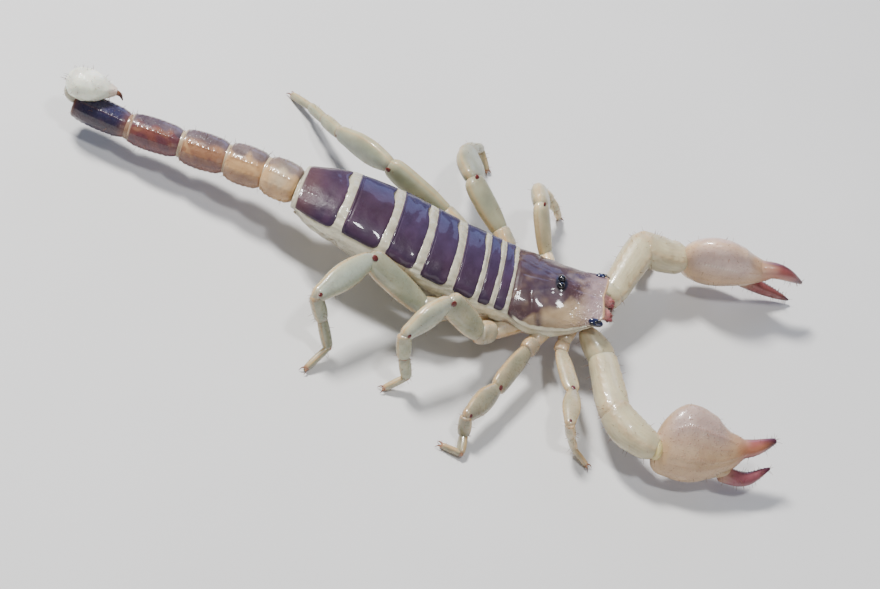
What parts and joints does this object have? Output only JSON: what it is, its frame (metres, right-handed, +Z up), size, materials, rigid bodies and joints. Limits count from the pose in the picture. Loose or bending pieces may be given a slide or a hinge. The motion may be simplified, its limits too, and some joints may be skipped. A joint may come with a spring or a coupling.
{
  "type": "scorpion model",
  "caption": "Life-size model of a burrowing scorpion standing still with broad pincers held forward and its tail stretched out behind, for display.",
  "frame": {"origin": "on the floor under the middle of the whole animal's bounding box", "axes": "+X towards the head end, +Y to the animal's left, +Z up"},
  "size_m": [0.12, 0.0578, 0.0137],
  "materials": {
    "back": "polished purple-brown shell",
    "carapace": "polished shell, finely grained in front",
    "skin": "soft folded skin",
    "leg": "smooth translucent ivory shell",
    "arm": "smooth ivory-yellow shell",
    "hand": "grained and keeled pink-tan shell",
    "finger": "smooth dark red shell",
    "eye": "wet black",
    "jaw": "smooth pink-red shell",
    "tail_front": "smooth peach shell",
    "tail_middle": "keeled red-brown shell",
    "tail_rear": "keeled indigo shell",
    "bulb": "smooth ivory shell",
    "sting": "smooth dark red shell"
  },
  "bodies": {
    "root": {"arm_left_finger": "finger", "arm_left_forearm": "arm", "arm_left_hand": "hand", "arm_left_upper": "arm", "arm_right_finger": "finger", "arm_right_forearm": "arm", "arm_right_hand": "hand", "arm_right_upper": "arm", "back_plate_1": "back", "back_plate_2": "back", "back_plate_3": "back", "back_plate_4": "back", "back_plate_5": "back", "back_plate_6": "back", "back_plate_7": "back", "breast": "skin", "bulb": "bulb", "carapace": "carapace", "comb_left": "skin", "comb_right": "skin", "eye_median_left": "eye", "eye_median_right": "eye", "eyes_lateral_left": "eye", "eyes_lateral_right": "eye", "jaw_left": "jaw", "jaw_right": "jaw", "leg_left_1_foot": "leg", "leg_left_1_shin": "leg", "leg_left_1_thigh": "leg", "leg_left_2_foot": "leg", "leg_left_2_shin": "leg", "leg_left_2_thigh": "leg", "leg_left_3_foot": "leg", "leg_left_3_shin": "leg", "leg_left_3_thigh": "leg", "leg_left_4_foot": "leg", "leg_left_4_shin": "leg", "leg_left_4_thigh": "leg", "leg_right_1_foot": "leg", "leg_right_1_shin": "leg", "leg_right_1_thigh": "leg", "leg_right_2_foot": "leg", "leg_right_2_shin": "leg", "leg_right_2_thigh": "leg", "leg_right_3_foot": "leg", "leg_right_3_shin": "leg", "leg_right_3_thigh": "leg", "leg_right_4_foot": "leg", "leg_right_4_shin": "leg", "leg_right_4_thigh": "leg", "sting": "sting", "tail_1": "tail_front", "tail_2": "tail_front", "tail_3": "tail_middle", "tail_4": "tail_middle", "tail_5": "tail_rear", "trunk": "skin"}
  },
  "joints": []
}
